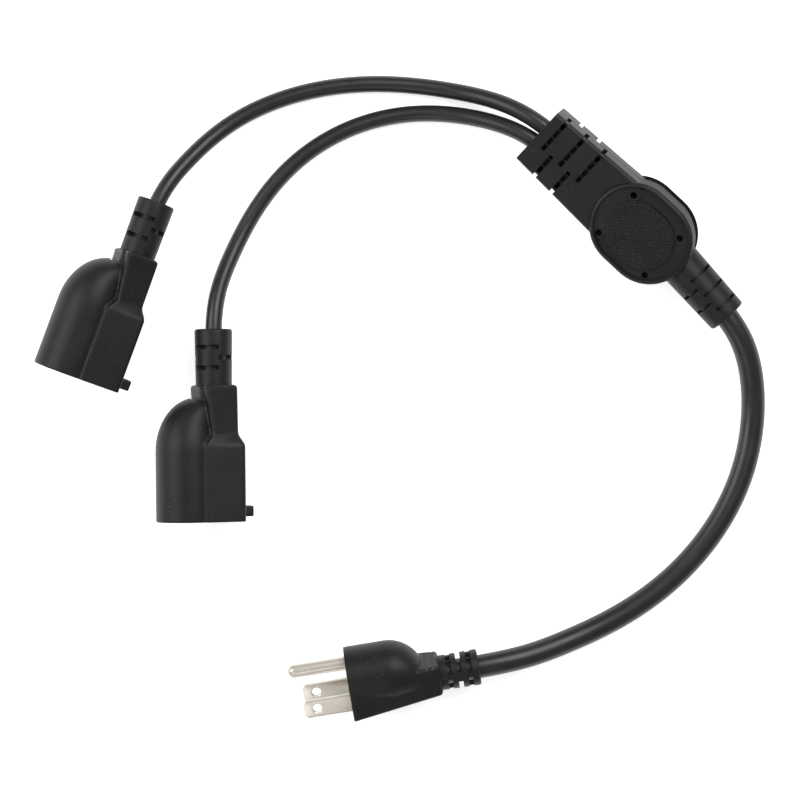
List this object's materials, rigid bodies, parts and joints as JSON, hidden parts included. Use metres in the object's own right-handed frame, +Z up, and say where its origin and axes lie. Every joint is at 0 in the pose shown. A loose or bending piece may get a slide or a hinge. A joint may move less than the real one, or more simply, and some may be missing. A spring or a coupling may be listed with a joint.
{
  "type": "power cord splitter",
  "caption": "Y-shaped power cord: a grounded plug feeds a moulded junction, from which thinner cords run to grounded cord connectors.",
  "frame": {"origin": "on the table, under the middle of the junction moulding", "axes": "+Z up from the table; seen from above the plug lies towards -Y and the connectors towards -X"},
  "size_m": [0.251, 0.2219, 0.027],
  "materials": {
    "cord_pvc": "moulded flexible PVC, matt with a fine grain",
    "cord_jacket": "extruded PVC jacket, satin",
    "inner_plastic": "moulded, satin",
    "nickel": "nickel plated, satin",
    "brass": "stamped, bright",
    "black_lead": "insulated lead",
    "white_lead": "insulated lead",
    "green_lead": "insulated lead"
  },
  "bodies": {
    "root": {"plug_shell": "cord_pvc", "plug_bridge": "inner_plastic", "plug_neutral_blade": "nickel", "plug_hot_blade": "nickel", "plug_ground_pin": "nickel", "plug_hot_lead": "black_lead", "plug_neutral_lead": "white_lead", "plug_ground_lead": "green_lead", "lower_shell": "cord_pvc", "lower_insert": "inner_plastic", "lower_hot_contact": "brass", "lower_hot_lead": "black_lead", "lower_neutral_contact": "brass", "lower_neutral_lead": "white_lead", "lower_ground_contact": "brass", "lower_ground_lead": "green_lead", "upper_shell": "cord_pvc", "upper_insert": "inner_plastic", "upper_hot_contact": "brass", "upper_hot_lead": "black_lead", "upper_neutral_contact": "brass", "upper_neutral_lead": "white_lead", "upper_ground_contact": "brass", "upper_ground_lead": "green_lead", "junction_shell": "cord_pvc", "junction_bridge": "inner_plastic", "junction_hot_ferrule": "brass", "junction_inner_hot_lead": "black_lead", "junction_outer_hot_lead": "black_lead", "junction_input_hot_lead": "black_lead", "junction_neutral_ferrule": "brass", "junction_inner_neutral_lead": "white_lead", "junction_outer_neutral_lead": "white_lead", "junction_input_neutral_lead": "white_lead", "junction_ground_ferrule": "brass", "junction_inner_ground_lead": "green_lead", "junction_outer_ground_lead": "green_lead", "junction_input_ground_lead": "green_lead", "input_cord": "cord_jacket", "outer_cord": "cord_jacket", "inner_cord": "cord_jacket"}
  },
  "joints": []
}
